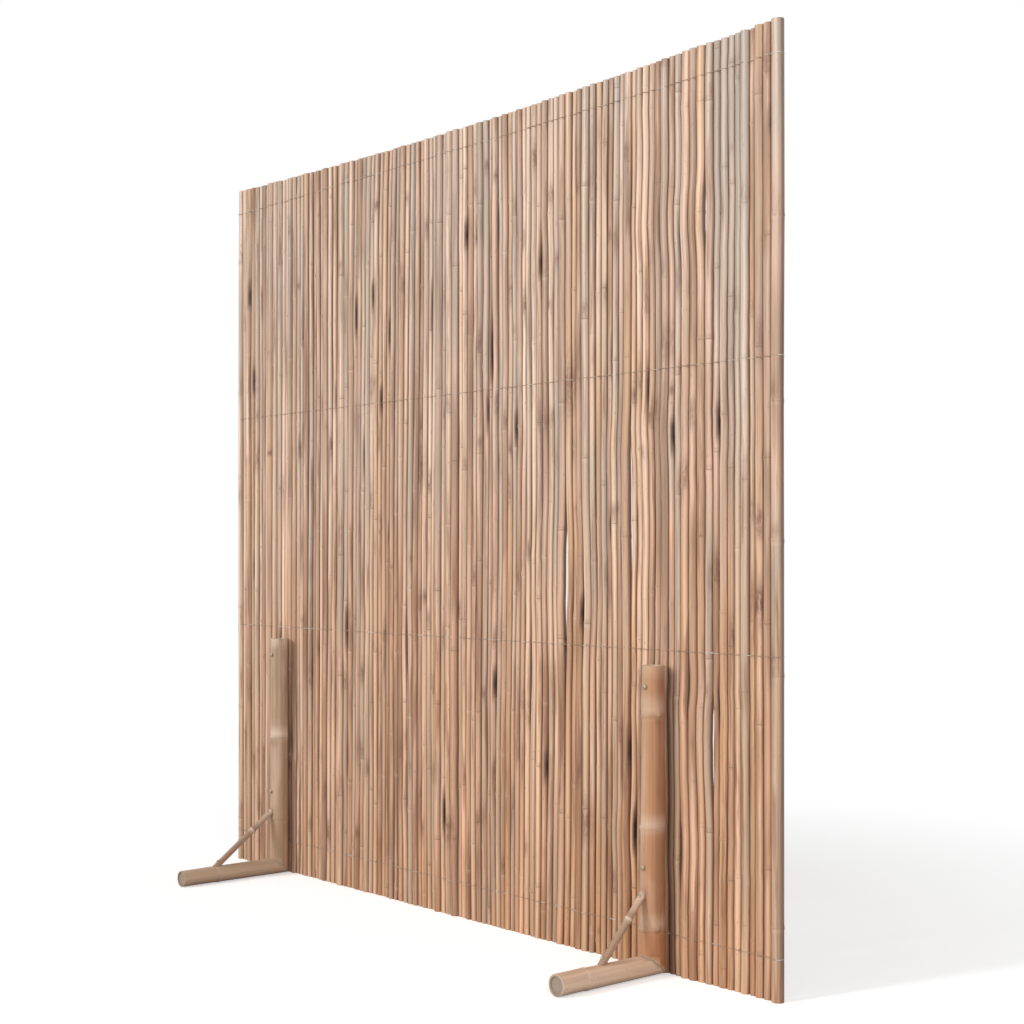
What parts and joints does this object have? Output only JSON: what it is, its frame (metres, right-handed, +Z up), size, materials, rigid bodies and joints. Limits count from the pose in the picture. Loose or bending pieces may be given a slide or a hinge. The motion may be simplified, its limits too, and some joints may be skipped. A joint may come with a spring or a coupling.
{
  "type": "bamboo screen",
  "caption": "Free-standing screen of upright thin canes bound side by side with wire to split rails, held upright by pole stands with braced feet.",
  "frame": {"origin": "middle of the footprint, on the floor, in the middle of the panel's thickness", "axes": "+X along the panel, left to right seen from the front; +Y from the front to the back; +Z up"},
  "size_m": [1.7998, 0.598, 1.6998],
  "materials": {
    "cane_bamboo": "dry satin cane skin, pale straw to rosy tan, with node rings and dark stains",
    "rail_bamboo": "satin split cane",
    "pale_pole_bamboo": "satin pole skin, pale tan",
    "brown_pole_bamboo": "satin pole skin, orange brown",
    "brace_bamboo": "satin thin cane",
    "galvanised_wire": "dull zinc",
    "nail_steel": "plain bright steel"
  },
  "bodies": {
    "root": {"binding_wire_1": "galvanised_wire", "binding_wire_2": "galvanised_wire", "binding_wire_3": "galvanised_wire", "binding_wire_4": "galvanised_wire", "brace_nails": "nail_steel", "canes_left_01": "cane_bamboo", "canes_left_02": "cane_bamboo", "canes_left_03": "cane_bamboo", "canes_left_04": "cane_bamboo", "canes_left_05": "cane_bamboo", "canes_left_06": "cane_bamboo", "canes_left_07": "cane_bamboo", "canes_left_08": "cane_bamboo", "canes_left_09": "cane_bamboo", "canes_left_10": "cane_bamboo", "canes_left_11": "cane_bamboo", "canes_left_12": "cane_bamboo", "canes_left_13": "cane_bamboo", "canes_right_01": "cane_bamboo", "canes_right_02": "cane_bamboo", "canes_right_03": "cane_bamboo", "canes_right_04": "cane_bamboo", "canes_right_05": "cane_bamboo", "canes_right_06": "cane_bamboo", "canes_right_07": "cane_bamboo", "canes_right_08": "cane_bamboo", "canes_right_09": "cane_bamboo", "canes_right_10": "cane_bamboo", "canes_right_11": "cane_bamboo", "canes_right_12": "cane_bamboo", "canes_right_13": "cane_bamboo", "canes_right_14": "cane_bamboo", "front_brace_left": "brace_bamboo", "front_brace_right": "brace_bamboo", "front_foot_left": "pale_pole_bamboo", "front_foot_right": "pale_pole_bamboo", "front_post_left": "pale_pole_bamboo", "front_post_right": "brown_pole_bamboo", "post_nails": "nail_steel", "rail_1": "rail_bamboo", "rail_2": "rail_bamboo", "rail_3": "rail_bamboo", "rail_4": "rail_bamboo", "rear_brace_left": "brace_bamboo", "rear_brace_right": "brace_bamboo", "rear_foot_left": "pale_pole_bamboo", "rear_foot_right": "pale_pole_bamboo", "rear_post_left": "pale_pole_bamboo", "rear_post_right": "pale_pole_bamboo"}
  },
  "joints": []
}
